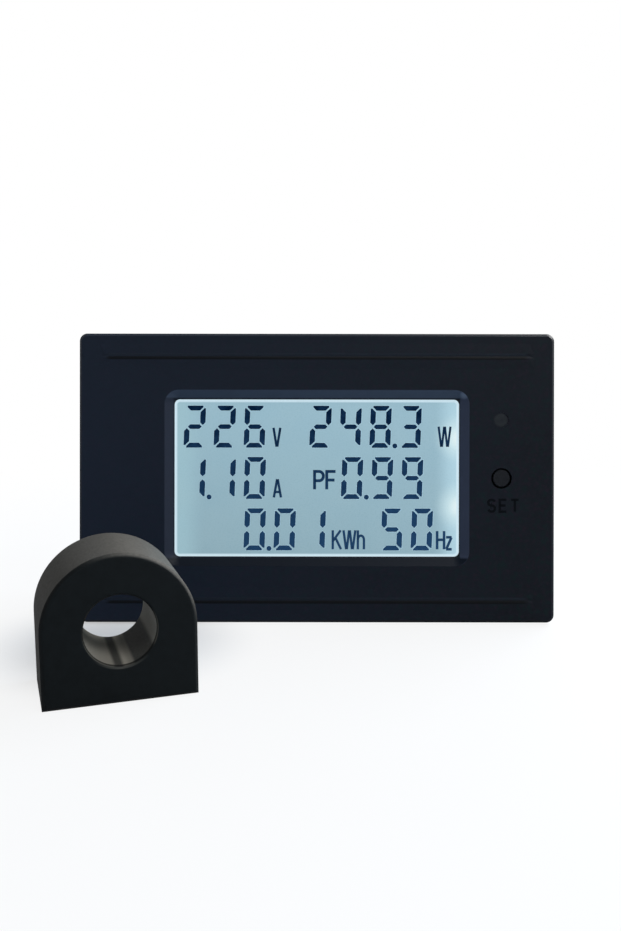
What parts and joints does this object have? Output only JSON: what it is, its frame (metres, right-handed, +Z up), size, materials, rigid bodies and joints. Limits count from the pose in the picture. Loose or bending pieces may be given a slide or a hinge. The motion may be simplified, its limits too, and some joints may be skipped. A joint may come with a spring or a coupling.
{
  "type": "ac power meter",
  "caption": "Panel-mount AC power meter with a backlit display, a set button and rear screw terminals, leaning on its box, with a separate ring current transformer in front.",
  "frame": {"origin": "on the table, under the middle of the whole set's bounding box", "axes": "+X to the right along the bezel, +Y away from the user, +Z up; the meter's face leans back from -Y"},
  "size_m": [0.09, 0.0724, 0.0542],
  "materials": {
    "housing_plastic": "fine spark-eroded matt",
    "button_plastic": "fine matt",
    "switch_plastic": "matt",
    "display_film": "clear satin film",
    "display_glass": "polished",
    "clear_acrylic": "polished",
    "white_plastic": "satin",
    "led_resin": "gloss",
    "tinned_metal": "bright tin",
    "board_laminate": "solder resist",
    "screw_steel": "zinc plated",
    "clamp_steel": "zinc plated",
    "terminal_plastic": "matt",
    "chip_resin": "matt",
    "crystal_can": "bright",
    "capacitor_box": "satin",
    "capacitor_can": "sleeved",
    "varistor_coat": "dipped",
    "resistor_coat": "dipped",
    "transformer_plastic": "satin",
    "transformer_resin": "poured",
    "core_steel": "wound strip",
    "winding_copper": "enamelled"
  },
  "bodies": {
    "meter": {"backlight_leds": "led_resin", "backlight_tray": "white_plastic", "board_screws": "screw_steel", "bridge_rectifier": "chip_resin", "controller_chip": "chip_resin", "crystal": "crystal_can", "film_capacitor": "capacitor_box", "front_glass": "display_glass", "front_housing": "housing_plastic", "front_polariser": "display_film", "fuse_resistor": "resistor_coat", "lcd_pins": "tinned_metal", "light_guide": "clear_acrylic", "main_board": "board_laminate", "memory_chip": "chip_resin", "metering_chip": "chip_resin", "rear_cover": "housing_plastic", "rear_glass": "display_glass", "rear_polariser": "display_film", "smoothing_capacitor": "capacitor_can", "switch_base": "switch_plastic", "terminal_block": "terminal_plastic", "terminal_plates": "tinned_metal", "varistor": "varistor_coat"},
    "set_button": {"set_button": "button_plastic", "switch_plunger": "switch_plastic"},
    "latch_left": {"latch_left": "housing_plastic"},
    "latch_right": {"latch_right": "housing_plastic"},
    "current_transformer": {"ct_case": "transformer_plastic", "ct_core": "core_steel", "ct_winding": "winding_copper", "ct_back": "transformer_resin"},
    "clamp_plate_1": {"clamp_plate_1": "clamp_steel"},
    "terminal_screw_1": {"terminal_screw_1": "screw_steel"},
    "clamp_plate_2": {"clamp_plate_2": "clamp_steel"},
    "terminal_screw_2": {"terminal_screw_2": "screw_steel"},
    "clamp_plate_3": {"clamp_plate_3": "clamp_steel"},
    "terminal_screw_3": {"terminal_screw_3": "screw_steel"},
    "clamp_plate_4": {"clamp_plate_4": "clamp_steel"},
    "terminal_screw_4": {"terminal_screw_4": "screw_steel"}
  },
  "joints": [
    {"name": "button_press", "type": "slide", "parent": "meter", "child": "set_button", "axis": [0, 0.9869, -0.1614], "range_m": [0, 0.0003], "stiffness_N_per_m": 3000, "springref_m": -0.0002},
    {"name": "latch_left_flex", "type": "hinge", "parent": "meter", "child": "latch_left", "pos_m": [-0.03988, 0.02307, 0.02496], "axis": [0, 0.1614, 0.9869], "range_deg": [0, 8], "stiffness_Nm_per_rad": 1.2},
    {"name": "latch_right_flex", "type": "hinge", "parent": "meter", "child": "latch_right", "pos_m": [0.04032, 0.02307, 0.02496], "axis": [0, -0.1614, -0.9869], "range_deg": [0, 8], "stiffness_Nm_per_rad": 1.2},
    {"name": "transformer_placed", "type": "slide", "parent": "meter", "child": "current_transformer", "axis": [0, -1, 0], "range_m": [0, 0.03]},
    {"name": "clamp_1_lift", "type": "slide", "parent": "meter", "child": "clamp_plate_1", "axis": [0, 0.9869, -0.1614], "range_m": [0, 0.003]},
    {"name": "screw_1_turn", "type": "hinge", "parent": "clamp_plate_1", "child": "terminal_screw_1", "pos_m": [0.03343, 0.02421, 0.01185], "axis": [0, 0.9869, -0.1614], "range_deg": [0, 2160]},
    {"name": "clamp_2_lift", "type": "slide", "parent": "meter", "child": "clamp_plate_2", "axis": [0, 0.9869, -0.1614], "range_m": [0, 0.003]},
    {"name": "screw_2_turn", "type": "hinge", "parent": "clamp_plate_2", "child": "terminal_screw_2", "pos_m": [0.03343, 0.02558, 0.02024], "axis": [0, 0.9869, -0.1614], "range_deg": [0, 2160]},
    {"name": "clamp_3_lift", "type": "slide", "parent": "meter", "child": "clamp_plate_3", "axis": [0, 0.9869, -0.1614], "range_m": [0, 0.003]},
    {"name": "screw_3_turn", "type": "hinge", "parent": "clamp_plate_3", "child": "terminal_screw_3", "pos_m": [0.03343, 0.02695, 0.02863], "axis": [0, 0.9869, -0.1614], "range_deg": [0, 2160]},
    {"name": "clamp_4_lift", "type": "slide", "parent": "meter", "child": "clamp_plate_4", "axis": [0, 0.9869, -0.1614], "range_m": [0, 0.003]},
    {"name": "screw_4_turn", "type": "hinge", "parent": "clamp_plate_4", "child": "terminal_screw_4", "pos_m": [0.03343, 0.02832, 0.03702], "axis": [0, 0.9869, -0.1614], "range_deg": [0, 2160]}
  ],
  "couplings": [
    {"joint": "screw_1_turn", "follows": "clamp_1_lift", "rad_per_m": 12566},
    {"joint": "screw_2_turn", "follows": "clamp_2_lift", "rad_per_m": 12566},
    {"joint": "screw_3_turn", "follows": "clamp_3_lift", "rad_per_m": 12566},
    {"joint": "screw_4_turn", "follows": "clamp_4_lift", "rad_per_m": 12566}
  ]
}
